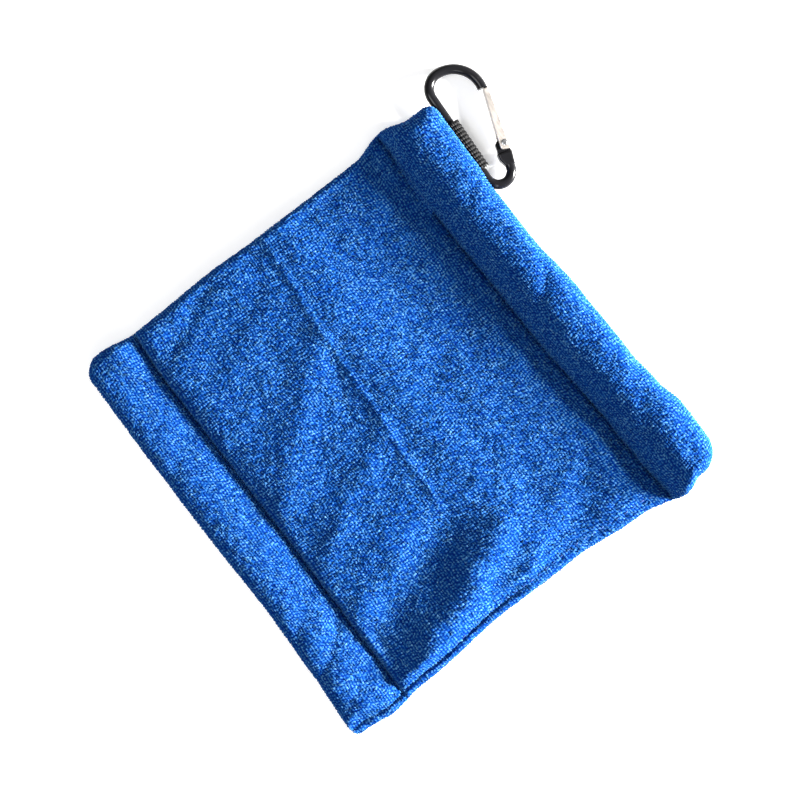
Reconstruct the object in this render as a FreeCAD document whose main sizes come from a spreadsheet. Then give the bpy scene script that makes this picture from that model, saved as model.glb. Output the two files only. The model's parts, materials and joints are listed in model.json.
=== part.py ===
"""Pocket golf towel: a folded and hemmed terry pouch with a carabiner on an elastic strap.

Millimetres. The origin is the centre of the face that the towel rests on. +X points at the sewn
side, -X at the fold, +Y at the hem that carries the carabiner, +Z up.
"""

import FreeCAD, Part

import math
import os

import Sketcher
from FreeCAD import Placement, Rotation, Vector

DIMENSIONS = [
    ("towel_width", 140.0, "folded side to sewn side"),
    ("towel_length", 138.0, "mouth end to clip end"),
    ("hem_width", 20.0, "both hems, along Y"),
    ("clip_hem_height", 10.4, "thick rolled hem at the carabiner end"),
    ("mouth_hem_height", 8.4, "flatter hem at the mouth"),
    ("panel_height", 5.2, "two layers of terry"),
    ("groove_height", 3.9, "cloth left under a line of stitches"),
    ("pouch_gap", 0.3, "between the two layers"),
    ("seam_allowance", 2.6, "sewn edge beyond the side seam"),
    ("fold_wall", 2.4, "cloth outside the pouch gap at the fold"),
    ("roll_radius", 4.6, "rounding of the clip hem"),
    ("edge_radius", 1.4, "rounding of the other cloth edges"),
    ("thread_radius", 0.2, ""),
    ("thread_rise", 0.24, "thread centre above the cloth in a groove"),
    ("strap_width", 17.0, "elastic strap, along the spine"),
    ("strap_thick", 1.2, ""),
    ("strap_fit", 0.1, "strap clear of the spine, on the radius"),
    ("strap_tail", 17.5, "from the spine's centre to the end of the tails"),
    ("strap_merge", 5.5, "from the spine's centre to where the two layers meet"),
    ("strap_offset", 0.6, "strap's middle from the carabiner's origin"),
    ("tail_thread_gap", 3.5, "between the two threads across the tails"),
    ("tail_thread_end", 2.0, "outer thread from the end of the tails"),
    ("tail_thread_radius", 0.12, ""),
    ("hem_room", 0.45, "hem clear of the spine, of its bends and of the strap"),
    ("loop_x", -52.5, "carabiner's origin, on the spine"),
    ("loop_y", 67.75, ""),
    ("loop_z", 3.2, "spine's centre above the rest face"),
    ("loop_yaw", -3.4, "degrees, spine from +X"),
    ("clip_tilt", -5.1, "degrees, carabiner about its spine, gate side down"),
    ("rod_radius", 1.6, "carabiner body"),
    ("spine_left", 17.6, "origin to the start of the lower left bend"),
    ("spine_right", 12.2, "origin to the start of the right bend"),
    ("left_bend", 5.6, "centreline radius"),
    ("crown_bend", 9.5, "centreline radius of the large bend"),
    ("right_bend", 4.2, "centreline radius"),
    ("crown_end", 77.5, "degrees from +X at which the crown bend stops"),
    ("hinge_straight", 3.6, "straight end behind the hinge"),
    ("rivet_x", 6.07, "gate rivet in the carabiner's plane"),
    ("rivet_y", 10.83, ""),
    ("gate_angle", 164.4, "degrees, closed gate from the spine's direction"),
    ("gate_length", 17.9, "rivet to the gate's nose"),
    ("gate_outer", 2.9, "across the channel"),
    ("gate_inner", 1.9, "between the channel's walls"),
    ("gate_tail", 2.35, "channel behind the rivet"),
    ("gate_high", 1.8, "channel's reach at the rivet, towards the eye"),
    ("gate_low", 1.4, "channel's reach at the rivet, away from the eye"),
    ("gate_nose", 0.95, "channel's reach at its nose, both ways"),
    ("gate_corner", 0.7, "rounding of the walls behind the rivet"),
    ("gate_fold", 0.4, "rounding where the sheet is folded"),
    ("web_thick", 0.45, "channel's back, on the eye side"),
    ("web_start", 2.6, "from the rivet"),
    ("tongue_thick", 1.6, "both ends of the body, between the gate's walls"),
    ("tongue_face", 1.6, "rivet to the face that the plunger presses"),
    ("tongue_high", 3.0, "hinge tongue's reach towards the eye"),
    ("tongue_low", 1.2, "hinge tongue's reach away from the eye"),
    ("head_thick", 3.3, "forged hinge end"),
    ("head_high", 3.35, "hinge end's reach towards the eye"),
    ("head_low", 1.4, "hinge end's reach away from the eye"),
    ("head_length", 4.2, "along the gate"),
    ("head_soft", 0.7, "rounding of the hinge end"),
    ("head_face", 2.9, "rivet to the hinge end's shoulder"),
    ("nose_face", 18.15, "rivet to the nose's shoulder"),
    ("rivet_radius", 0.8, ""),
    ("rivet_fit", 0.05, "tongue's hole clear of the rivet, on the radius"),
    ("rivet_head_radius", 1.05, ""),
    ("rivet_head_thick", 0.22, ""),
    ("spring_line", 0.35, "spring axis from the rivet, towards the eye"),
    ("spring_radius", 0.49, "to the middle of the wire"),
    ("spring_wire", 0.22, "wire diameter"),
    ("spring_start", 3.3, "from the rivet"),
    ("spring_stop", 8.5, "from the rivet, at the bent tab"),
    ("spring_turns", 11.0, ""),
    ("stop_thick", 0.5, "bent tab that the spring leans on"),
    ("plunger_radius", 0.55, "domed tip"),
    ("plunger_gap", 0.05, "tip clear of the tongue"),
    ("plunger_stem", 0.3, "stem radius inside the spring"),
    ("plunger_end", 6.0, "from the rivet"),
]


def fill_sheet(doc):
    """The driving dimensions, one alias to a cell."""
    sheet = doc.addObject("Spreadsheet::Sheet", "Dimensions")
    for row, (alias, number, note) in enumerate(DIMENSIONS, start=1):
        sheet.set(f"A{row}", alias)
        sheet.set(f"B{row}", str(number))
        sheet.setAlias(f"B{row}", alias)
        if note:
            sheet.set(f"C{row}", note)
    doc.recompute()
    return sheet


doc = FreeCAD.newDocument("golf_towel")
sheet = fill_sheet(doc)


def size(formula):
    """The number a formula of sheet aliases comes to."""
    return float(sheet.evalExpression(formula))


def bound(formula):
    """The formula as an expression that other objects can read, each alias led back to the sheet."""
    for alias, _, _ in sorted(DIMENSIONS, key=lambda row: -len(row[0])):
        formula = formula.replace(alias, f"@{alias[::-1]}@")
    for alias, _, _ in DIMENSIONS:
        formula = formula.replace(f"@{alias[::-1]}@", f"Dimensions.{alias}")
    return formula


def turned(position, axis, degrees):
    return Placement(Vector(*position), Rotation(Vector(*axis), degrees))


# The strap's frame: its X runs along the spine. The carabiner's frame tilts about that X, and the
# gate's frame has its X from the rivet to the nose and its Y towards the eye.
STRAP_FRAME = turned((size("loop_x"), size("loop_y"), size("loop_z")), (0, 0, 1), size("loop_yaw"))
CLIP_FRAME = STRAP_FRAME.multiply(turned((0, 0, 0), (1, 0, 0), size("clip_tilt")))
GATE_IN_CLIP = turned((size("rivet_x"), size("rivet_y"), 0), (0, 0, 1), size("gate_angle"))
GATE_FRAME = CLIP_FRAME.multiply(GATE_IN_CLIP)


# Building blocks ------------------------------------------------------------------------------


def new_body(label, placement=Placement()):
    body = doc.addObject("PartDesign::Body", label)
    body.Label = label
    body.Placement = placement
    return body


def new_sketch(body, role, name):
    """An empty sketch on one of the body's own origin planes."""
    sketch = body.newObject("Sketcher::SketchObject", name)
    plane = next(f for f in body.Origin.OriginFeatures if f.Role == role)
    sketch.AttachmentSupport = [(plane, "")]
    sketch.MapMode = "FlatFace"
    return sketch


def bind_datum(sketch, constraint, name, formula):
    sketch.renameConstraint(sketch.addConstraint(constraint), name)
    sketch.setExpression(f"Constraints.{name}", bound(formula))


def bind_point(sketch, edge, end, across, up, name):
    """One end of an edge at (across, up) from the sketch's origin, both of them formulas."""
    x = Sketcher.Constraint("DistanceX", -1, 1, edge, end, size(across))
    y = Sketcher.Constraint("DistanceY", -1, 1, edge, end, size(up))
    bind_datum(sketch, x, f"{name}_across", across)
    bind_datum(sketch, y, f"{name}_up", up)


def bind_height(sketch, edge, end, up, name):
    """One end of an edge at a formula's distance above the sketch's horizontal axis."""
    datum = Sketcher.Constraint("DistanceY", -1, 1, edge, end, size(up))
    bind_datum(sketch, datum, f"{name}_up", up)


def add_outline(sketch, corners):
    """A closed outline of straight edges through corners given as pairs of formulas."""
    first = sketch.GeometryCount
    points = [Vector(size(across), size(up), 0) for across, up in corners]
    for start, end in zip(points, points[1:] + points[:1]):
        sketch.addGeometry(Part.LineSegment(start, end), False)
    for i, (across, up) in enumerate(corners):
        before = first + (i - 1) % len(corners)
        sketch.addConstraint(Sketcher.Constraint("Coincident", before, 2, first + i, 1))
        bind_point(sketch, first + i, 1, across, up, f"corner{first + i}")


def add_circle(sketch, across, up, radius):
    centre = Vector(size(across), size(up), 0)
    edge = sketch.addGeometry(Part.Circle(centre, Vector(0, 0, 1), size(radius)), False)
    bind_point(sketch, edge, 3, across, up, f"centre{edge}")
    datum = Sketcher.Constraint("Radius", edge, size(radius))
    bind_datum(sketch, datum, f"radius{edge}", radius)


def pad(body, sketch, name, length):
    """The sketch made solid, half to each side of its plane."""
    feature = body.newObject("PartDesign::Pad", name)
    feature.Profile = sketch
    feature.Midplane = True
    feature.setExpression("Length", bound(length))
    doc.recompute()
    return feature


def pocket(body, sketch, name, length):
    """The sketch cut away, half to each side of its plane. The body must get smaller."""
    before = body.Shape.Volume
    feature = body.newObject("PartDesign::Pocket", name)
    feature.Profile = sketch
    feature.Midplane = True
    feature.setExpression("Length", bound(length))
    doc.recompute()
    if body.Shape.Volume > before - 1e-6:
        raise RuntimeError(f"{name} cuts nothing")
    return feature


def rounded(body, name, radius, wanted, kind="PartDesign::Fillet"):
    """Fillets or chamfers on the edges of the body's tip whose middle point is wanted."""
    base = body.Tip
    edges = []
    for i, edge in enumerate(base.Shape.Edges, start=1):
        middle = edge.valueAt((edge.FirstParameter + edge.LastParameter) / 2)
        if wanted(middle):
            edges.append(f"Edge{i}")
    if not edges:
        raise RuntimeError(f"{name} finds no edges")
    feature = body.newObject(kind, name)
    feature.Base = (base, edges)
    feature.setExpression("Size" if "Chamfer" in kind else "Radius", bound(radius))
    doc.recompute()
    return feature


def near(a, b):
    return abs(a - b) < 0.05


def cylinder(name, radius, length, placement):
    """A Part cylinder along its placement's Z."""
    solid = doc.addObject("Part::Cylinder", name)
    solid.setExpression("Radius", bound(radius))
    solid.setExpression("Height", bound(length))
    solid.Placement = placement
    return solid


def fused(label, solids):
    group = doc.addObject("Part::MultiFuse", label)
    group.Label = label
    group.Shapes = solids
    group.Refine = True
    return group


# The terry pouch --------------------------------------------------------------------------------

CLIP_SEAM = "(towel_length / 2 - hem_width)"
MOUTH_SEAM = "(-towel_length / 2 + hem_width)"
SIDE_SEAM = "(towel_width / 2 - seam_allowance)"


def cloth_tube(label, length, middle, height, corners, grooves):
    """A stretch of the folded strip, with the pouch's gap through it along Y.

    grooves are the end edges, as signs of Y, where the top slopes down to a line of stitches.
    """
    body = new_body(label, Placement(Vector(0, size(middle), 0), Rotation()))
    outline = new_sketch(body, "XZ_Plane", f"{label}_outline")
    add_outline(outline, corners)
    pad(body, outline, f"{label}_cloth", length)
    half = size("towel_width / 2")
    rounded(body, f"{label}_fold", f"{height} / 2 - 0.05", lambda p: near(p.x, -half))
    rounded(body, f"{label}_edge", "edge_radius", lambda p: near(p.x, half))
    slit = new_sketch(body, "XZ_Plane", f"{label}_slit")
    left, right = "-towel_width / 2 + fold_wall", f"{SIDE_SEAM} - 0.6"
    low, high = f"({height} - pouch_gap) / 2", f"({height} + pouch_gap) / 2"
    add_outline(slit, [(left, low), (right, low), (right, high), (left, high)])
    pocket(body, slit, f"{label}_gap", length)
    for sign in grooves:
        groove = new_sketch(body, "YZ_Plane", f"{label}_groove")
        end = f"{sign}({length}) / 2"
        inner = f"{sign}(({length}) / 2 - 2 * ({height} - groove_height))"
        above = f"{height} + 1"
        add_outline(groove, [(end, "groove_height"), (inner, height), (inner, above), (end, above)])
        pocket(body, groove, f"{label}_slope", "towel_width + 2")
    return body


def folded_panel():
    """Front and back of the pouch between the two hems: one folded strip, sewn at +X."""
    edge = "towel_width / 2"
    corners = [
        (f"-{edge}", "0"),
        (edge, "0"),
        (edge, "groove_height - 0.3"),
        (SIDE_SEAM, "groove_height"),
        (f"{SIDE_SEAM} - 2.3", "panel_height"),
        (f"-{edge}", "panel_height"),
    ]
    length = "towel_length - 2 * hem_width"
    return cloth_tube("folded_panel", length, "0", "panel_height", corners, "+-")


def mouth_hem():
    """Hem at -Y, where the pouch opens."""
    edge = "towel_width / 2"
    corners = [
        (f"-{edge}", "0"),
        (edge, "0"),
        (edge, "mouth_hem_height - 1.6"),
        (SIDE_SEAM, "mouth_hem_height - 1.2"),
        (f"{SIDE_SEAM} - 2.3", "mouth_hem_height"),
        (f"-{edge}", "mouth_hem_height"),
    ]
    middle = f"{MOUTH_SEAM} - hem_width / 2"
    return cloth_tube("mouth_hem", "hem_width", middle, "mouth_hem_height", corners, "+")


def hem_hollow(name, left, right, back, top):
    """A box to cut from the clip hem, in the strap's frame: open below and beyond the hem's edge."""
    front, foot = size("hem_width / 2"), -size("loop_z") - 1
    left, right, back, top = (size(formula) for formula in (left, right, back, top))
    box = doc.addObject("Part::Box", name)
    box.Length, box.Width, box.Height = right - left, front - back, top - foot
    box.Placement = STRAP_FRAME.multiply(Placement(Vector(left, back, foot), Rotation()))
    return box


def clip_hem_rooms():
    """Hollows for the spine, for the bends as they swing up, for the strap and for its tails."""
    spine_back = "-rod_radius - hem_room"
    left_end = "-spine_left - left_bend - rod_radius + 0.3"
    left_inner = "-spine_left + 3 * hem_room"
    right_inner = "spine_right - 5 * hem_room"
    right_end = "spine_right + right_bend + rod_radius + 1"
    strap_left = "strap_offset - strap_width / 2 - hem_room + 0.05"
    strap_right = "strap_offset + strap_width / 2 + hem_room - 0.05"
    strap_reach = "rod_radius + strap_fit + strap_thick"
    above_all = "clip_hem_height"
    return [
        hem_hollow("spine_room", left_end, right_end, spine_back, "rod_radius + 1.4 * hem_room"),
        hem_hollow("left_bend_room", left_end, left_inner, spine_back, above_all),
        hem_hollow("right_bend_room", right_inner, right_end, spine_back, above_all),
        hem_hollow("strap_room", strap_left, strap_right, "-strap_merge - 2", f"{strap_reach} + 0.25"),
        hem_hollow("tail_room", strap_left, strap_right, "-strap_tail - 2.5",
                   f"2 * strap_thick - ({strap_reach}) + 0.25"),
    ]


def clip_hem():
    """Rolled hem at +Y, hollowed where the strap and the carabiner's spine lie under its edge."""
    middle = size(f"{CLIP_SEAM} + hem_width / 2")
    body = new_body("clip_hem_roll", Placement(Vector(0, middle, 0), Rotation()))
    profile = new_sketch(body, "YZ_Plane", "clip_hem_profile")
    near_side, far_side = "-hem_width / 2", "hem_width / 2"
    add_outline(profile, [
        (near_side, "0"),
        (far_side, "0"),
        (far_side, "clip_hem_height"),
        (near_side, "clip_hem_height"),
    ])
    pad(body, profile, "clip_hem_cloth", "towel_width")
    half = size(far_side)
    top = size("clip_hem_height")
    rounded(body, "clip_hem_top", "roll_radius", lambda p: near(p.z, top) and near(abs(p.y), half))
    rounded(body, "clip_hem_foot", "roll_radius", lambda p: near(p.z, 0) and near(p.y, half))

    hollow = fused("clip_hem_rooms", clip_hem_rooms())
    hem = doc.addObject("Part::Cut", "clip_hem")
    hem.Label = "clip_hem"
    hem.Base = body
    hem.Tool = hollow
    return hem


def thread_along_x(name, y, z):
    half = size(f"{SIDE_SEAM}")
    place = Placement(Vector(-half, y, z), Rotation(Vector(0, 1, 0), 90))
    return cylinder(name, "thread_radius", f"2 * {SIDE_SEAM}", place)


def stitches():
    """Threads that lie in the grooves of the two hems and of the side seam."""
    above = size("groove_height + thread_rise")
    rise = size("thread_rise * 1.5")
    for label, y in (("clip_hem_stitches", size(CLIP_SEAM)), ("mouth_hem_stitches", size(MOUTH_SEAM))):
        inward = -rise if y > 0 else rise
        thread = thread_along_x(label, y + inward, above + rise)
        thread.Label = label
    length = "towel_length - 2 * hem_width"
    place = Placement(Vector(size(SIDE_SEAM) + 0.1, size(f"-({length}) / 2"), above),
                      Rotation(Vector(1, 0, 0), -90))
    seam = cylinder("side_seam_stitches", "thread_radius", length, place)
    seam.Label = "side_seam_stitches"


# The strap --------------------------------------------------------------------------------------


def tangent_point(radius, target):
    """Where a line from target touches a circle about the origin, on the upper side."""
    reach = math.atan2(target.y, target.x) % (2 * math.pi)
    angle = reach - math.acos(radius / target.Length)
    return Vector(radius * math.cos(angle), radius * math.sin(angle), 0)


def add_loop(sketch, radius_formula, far_end, low_end):
    """An arc round the spine, a tangent line down to far_end and straight lines back to the arc."""
    radius = size(radius_formula)
    far = Vector(size(far_end[0]), size(far_end[1]), 0)
    touch = tangent_point(radius, far)
    start, end = -math.pi / 2, math.atan2(touch.y, touch.x)
    circle = Part.Circle(Vector(0, 0, 0), Vector(0, 0, 1), radius)
    arc = sketch.addGeometry(Part.ArcOfCircle(circle, start, end), False)
    slope = sketch.addGeometry(Part.LineSegment(touch, far), False)
    points = [far] + [Vector(size(a), size(b), 0) for a, b in low_end] + [Vector(0, -radius, 0)]
    lines = [sketch.addGeometry(Part.LineSegment(a, b), False) for a, b in zip(points, points[1:])]
    chain = [arc, slope] + lines
    sketch.addConstraint(Sketcher.Constraint("Coincident", arc, 3, -1, 1))
    bind_datum(sketch, Sketcher.Constraint("Radius", arc, radius), f"loop{arc}", radius_formula)
    sketch.addConstraint(Sketcher.Constraint("Tangent", arc, 2, slope, 1))
    for one, other in zip(chain[1:], chain[2:]):
        sketch.addConstraint(Sketcher.Constraint("Coincident", one, 2, other, 1))
    bind_point(sketch, slope, 2, *far_end, f"far{arc}")
    for line, (across, up) in zip(lines, low_end):
        bind_point(sketch, line, 2, across, up, f"low{line}")
    sketch.addConstraint(Sketcher.Constraint("Coincident", lines[-1], 2, arc, 1))
    sketch.addConstraint(Sketcher.Constraint("PointOnObject", arc, 1, -2))


def elastic_loop():
    """Flat strap round the spine, its two tails pressed together under the hem."""
    placement = STRAP_FRAME.multiply(Placement(Vector(size("strap_offset"), 0, 0), Rotation()))
    body = new_body("elastic_loop", placement)
    profile = new_sketch(body, "YZ_Plane", "strap_profile")
    inner, outer = "(rod_radius + strap_fit)", "(rod_radius + strap_fit + strap_thick)"
    tail_top = f"(2 * strap_thick - {outer} + 0.05)"
    add_loop(profile, outer, ("-strap_merge", tail_top),
             [("-strap_tail", tail_top), ("-strap_tail", f"-{outer}")])
    add_loop(profile, inner, ("-strap_merge + 0.5", f"-{inner} + 0.02"), [])
    pad(body, profile, "strap_band", "strap_width")
    return body


def loop_stitches():
    """Two threads across the strap's tails, on their underside."""
    start = size("strap_offset - strap_width / 2 + 1")
    below = size("-rod_radius - strap_fit - strap_thick - tail_thread_radius") - 0.01
    outer = size("tail_thread_end - strap_tail")
    threads = []
    for i, y in enumerate((outer, outer + size("tail_thread_gap"))):
        place = turned((start, y, below), (0, 1, 0), 90)
        threads.append(cylinder(f"tail_thread_{i + 1}", "tail_thread_radius", "strap_width - 2",
                                STRAP_FRAME.multiply(place)))
    group = doc.addObject("Part::Compound", "loop_stitches")
    group.Label = "loop_stitches"
    group.Links = threads


# The carabiner ----------------------------------------------------------------------------------


def bend(sketch, centre, radius, start, end):
    """An arc from start to end degrees about centre, anticlockwise."""
    circle = Part.Circle(Vector(*centre, 0), Vector(0, 0, 1), size(radius))
    arc = Part.ArcOfCircle(circle, math.radians(start), math.radians(end))
    edge = sketch.addGeometry(arc, False)
    bind_datum(sketch, Sketcher.Constraint("Radius", edge, size(radius)), f"bend{edge}", radius)
    return edge


def rod_path_left(body):
    """Spine, lower left bend and crown, as far as the nose."""
    sketch = new_sketch(body, "XY_Plane", "path_left")
    spine = sketch.addGeometry(Part.LineSegment(Vector(0, 0, 0), Vector(-size("spine_left"), 0, 0)), False)
    low = bend(sketch, (-size("spine_left"), size("left_bend")), "left_bend", 180, 270)
    crown_centre = (-size("spine_left + left_bend - crown_bend"), size("left_bend"))
    crown = bend(sketch, crown_centre, "crown_bend", size("crown_end"), 180)
    bind_point(sketch, spine, 2, "-spine_left", "0", "spine_end")
    sketch.addConstraint(Sketcher.Constraint("Coincident", spine, 1, -1, 1))
    sketch.addConstraint(Sketcher.Constraint("Tangent", spine, 2, low, 2))
    bind_height(sketch, low, 1, "left_bend", "low_end")
    sketch.addConstraint(Sketcher.Constraint("Tangent", low, 1, crown, 2))
    bind_height(sketch, crown, 1, "left_bend + crown_bend * sin(crown_end * 1 deg)", "crown_end")
    return sketch


def rod_path_right(body):
    """Spine, right bend and the straight end that carries the hinge."""
    sketch = new_sketch(body, "XY_Plane", "path_right")
    spine = sketch.addGeometry(Part.LineSegment(Vector(0, 0, 0), Vector(size("spine_right"), 0, 0)), False)
    heading = size("gate_angle")
    curve = bend(sketch, (size("spine_right"), size("right_bend")), "right_bend", -90, heading - 90)
    angle = math.radians(heading)
    start = Vector(size("spine_right + right_bend * sin(gate_angle * 1 deg)"),
                   size("right_bend * (1 - cos(gate_angle * 1 deg))"), 0)
    end = start + Vector(math.cos(angle), math.sin(angle), 0) * size("hinge_straight")
    straight = sketch.addGeometry(Part.LineSegment(start, end), False)
    bind_point(sketch, spine, 2, "spine_right", "0", "spine_end")
    sketch.addConstraint(Sketcher.Constraint("Coincident", spine, 1, -1, 1))
    sketch.addConstraint(Sketcher.Constraint("Tangent", spine, 2, curve, 1))
    sketch.addConstraint(Sketcher.Constraint("Tangent", curve, 2, straight, 1))
    slope = Sketcher.Constraint("Angle", straight, angle)
    bind_datum(sketch, slope, "hinge_heading", "gate_angle")
    run = Sketcher.Constraint("Distance", straight, size("hinge_straight"))
    bind_datum(sketch, run, "hinge_run", "hinge_straight")
    return sketch


def rod_body():
    """The bent round rod, swept both ways from the middle of the spine."""
    body = new_body("clip_rod", CLIP_FRAME)
    section = new_sketch(body, "YZ_Plane", "rod_section")
    add_circle(section, "0", "0", "rod_radius")
    for name, path in (("rod_left", rod_path_left(body)), ("rod_right", rod_path_right(body))):
        doc.recompute()
        pipe = body.newObject("PartDesign::AdditivePipe", name)
        pipe.Profile = section
        pipe.Spine = (path, [f"Edge{i + 1}" for i in range(path.GeometryCount)])
        doc.recompute()
    return body


def plate(label, corners, thickness, softened=None):
    """A plate in the carabiner's plane, outlined in the gate's frame."""
    body = new_body(label, GATE_FRAME)
    outline = new_sketch(body, "XY_Plane", f"{label}_outline")
    add_outline(outline, corners)
    pad(body, outline, f"{label}_plate", thickness)
    if softened:
        half = size(thickness) / 2
        rounded(body, f"{label}_soft", softened, lambda p: near(abs(p.z), half))
    return body


def hinge_head():
    """Forged shoulder behind the gate, wider than the rod towards the eye."""
    return plate("hinge_head", [
        ("-head_face", "-head_low"),
        ("-head_face", "head_high"),
        ("-head_face - 0.45 * head_length", "head_high - 0.15"),
        ("-head_face - head_length", "0.63 * head_high"),
        ("-head_face - head_length", "0.4 - head_low"),
    ], "head_thick", "head_soft")


def hinge_tongue():
    """Thin plate between the gate's walls, with the rivet's hole."""
    body = plate("hinge_tongue", [
        ("-head_face - 1", "-tongue_low"),
        ("rivet_radius - 0.1", "-tongue_low"),
        ("tongue_face", "-tongue_low / 2"),
        ("tongue_face", "tongue_high - 1.75"),
        ("tongue_face - 0.6", "tongue_high - 0.7"),
        ("tongue_face - 1.5", "tongue_high"),
        ("-head_face - 1", "tongue_high + 0.1"),
    ], "tongue_thick")
    hole = new_sketch(body, "XY_Plane", "hinge_hole_outline")
    add_circle(hole, "0", "0", "rivet_radius + rivet_fit")
    pocket(body, hole, "hinge_hole", "head_thick")
    return body


def nose_tongue():
    """Thin plate at the nose that the gate's back closes against."""
    return plate("nose_tongue", [
        ("nose_face + 1.4", "-0.3"),
        ("nose_face + 1.4", "0.42"),
        ("nose_face - 2.6", "0.42"),
        ("nose_face - 2.6", "-0.45"),
        ("nose_face - 0.2", "-0.55"),
    ], "tongue_thick")


def carabiner_body():
    fused("carabiner_body", [rod_body(), hinge_head(), hinge_tongue(), nose_tongue()])


def gate_channel():
    """Sheet folded to a channel: two walls, a back on the eye side and a bent tab for the spring."""
    body = new_body("gate_channel", GATE_FRAME)
    outline = new_sketch(body, "XY_Plane", "gate_side")
    add_outline(outline, [
        ("-gate_tail", "-gate_low"),
        ("gate_length", "-gate_nose"),
        ("gate_length", "gate_nose"),
        ("web_start", "gate_high"),
        ("0.5 - gate_tail", "gate_high"),
    ])
    pad(body, outline, "gate_blank", "gate_outer")
    side, nose_end, nose_high = size("gate_outer") / 2, size("gate_length") - 1, size("gate_nose")
    web = size("web_start")
    rounded(body, "gate_corners", "gate_corner", lambda p: near(p.z, 0) and p.x < 0)
    rounded(body, "gate_tip", "gate_corner / 2", lambda p: near(p.z, 0) and p.x > nose_end)
    rounded(body, "gate_folds", "gate_fold",
            lambda p: near(abs(p.z), side) and p.y > nose_high + 0.01 and p.x > web + 0.1)
    beyond = "(2 * gate_tail)"
    inside = new_sketch(body, "XY_Plane", "gate_inside")
    add_outline(inside, [
        (f"-{beyond}", f"-{beyond}"),
        ("gate_length + 2", f"-{beyond}"),
        ("gate_length + 2", "gate_nose - web_thick - 0.11"),
        ("gate_length", "gate_nose - web_thick"),
        ("web_start", "gate_high - web_thick"),
        ("web_start", beyond),
        (f"-{beyond}", beyond),
    ])
    pocket(body, inside, "gate_hollow", "gate_inner")
    tab = new_sketch(body, "XY_Plane", "gate_tab")
    add_outline(tab, [
        ("spring_stop", "0.15 - gate_nose"),
        ("spring_stop + stop_thick", "0.15 - gate_nose"),
        ("spring_stop + stop_thick", "gate_high - 0.5"),
        ("spring_stop", "gate_high - 0.5"),
    ])
    pad(body, tab, "spring_tab", "gate_inner + 0.02")
    hole = new_sketch(body, "XY_Plane", "gate_hole")
    add_circle(hole, "0", "0", "rivet_radius")
    pocket(body, hole, "gate_bore", "gate_outer + 1")
    return body


def gate_rivet():
    """Pin through both walls with a low head on each side."""
    body = new_body("gate_rivet", GATE_FRAME)
    profile = new_sketch(body, "XZ_Plane", "rivet_profile")
    wall = "(gate_outer / 2)"
    add_outline(profile, [
        ("0", f"-{wall} - rivet_head_thick"),
        ("rivet_head_radius - 0.35", f"-{wall} - rivet_head_thick"),
        ("rivet_head_radius", f"-{wall}"),
        ("rivet_radius", f"-{wall}"),
        ("rivet_radius", wall),
        ("rivet_head_radius", wall),
        ("rivet_head_radius - 0.35", f"{wall} + rivet_head_thick"),
        ("0", f"{wall} + rivet_head_thick"),
    ])
    turn = body.newObject("PartDesign::Revolution", "rivet_turned")
    turn.Profile = profile
    turn.ReferenceAxis = (profile, ["V_Axis"])
    turn.Angle = 360
    doc.recompute()
    return body


def spring_frame():
    """Z along the spring, from the plunger to the tab."""
    line = Placement(Vector(size("spring_start"), size("spring_line"), 0), Rotation(Vector(0, 1, 0), 90))
    return GATE_FRAME.multiply(line)


def gate_spring():
    """Coil spring between the plunger's shoulder and the tab."""
    wire = size("spring_wire") / 2
    helix = doc.addObject("Part::Helix", "spring_path")
    length = "spring_stop - spring_start - spring_wire - 0.04"
    helix.setExpression("Pitch", bound(f"({length}) / spring_turns"))
    helix.setExpression("Height", bound(length))
    helix.setExpression("Radius", bound("spring_radius"))
    section = doc.addObject("Part::Circle", "spring_section")
    section.Radius = wire
    section.Placement = turned((size("spring_radius"), 0, 0), (1, 0, 0), 90)
    coil = doc.addObject("Part::Sweep", "gate_spring")
    coil.Label = "gate_spring"
    coil.Sections = [section]
    coil.Spine = (helix, ["Edge1"])
    coil.Solid = True
    coil.Frenet = True
    lead = Placement(Vector(0, 0, wire + 0.02), Rotation())
    coil.Placement = spring_frame().multiply(lead)


def gate_plunger():
    """Domed pin that the spring presses on the hinge tongue."""
    body = new_body("gate_plunger", spring_frame())
    profile = new_sketch(body, "XZ_Plane", "plunger_profile")
    tip = size("tongue_face + plunger_gap - spring_start")
    radius = size("plunger_radius")
    centre = Vector(0, tip + radius, 0)
    dome = Part.ArcOfCircle(Part.Circle(centre, Vector(0, 0, 1), radius), -math.pi / 2, 0)
    sketch_arc = profile.addGeometry(dome, False)
    corners = [
        (radius, tip + radius),
        (radius, 0),
        (size("plunger_stem"), 0),
        (size("plunger_stem"), size("plunger_end - spring_start")),
        (0, size("plunger_end - spring_start")),
        (0, tip),
    ]
    points = [Vector(across, up, 0) for across, up in corners]
    lines = [profile.addGeometry(Part.LineSegment(a, b), False) for a, b in zip(points, points[1:])]
    chain = [sketch_arc] + lines
    for one, other in zip(chain, lines):
        profile.addConstraint(Sketcher.Constraint("Coincident", one, 2, other, 1))
    profile.addConstraint(Sketcher.Constraint("Coincident", lines[-1], 2, sketch_arc, 1))
    datum = Sketcher.Constraint("Radius", sketch_arc, radius)
    bind_datum(profile, datum, "dome_radius", "plunger_radius")
    turn = body.newObject("PartDesign::Revolution", "plunger_turned")
    turn.Profile = profile
    turn.ReferenceAxis = (profile, ["V_Axis"])
    turn.Angle = 360
    doc.recompute()
    return body


# The whole towel --------------------------------------------------------------------------------

NODES = [
    "folded_panel", "clip_hem", "mouth_hem",
    "clip_hem_stitches", "mouth_hem_stitches", "side_seam_stitches",
    "elastic_loop", "loop_stitches",
    "carabiner_body", "gate_channel", "gate_rivet", "gate_spring", "gate_plunger",
]


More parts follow.
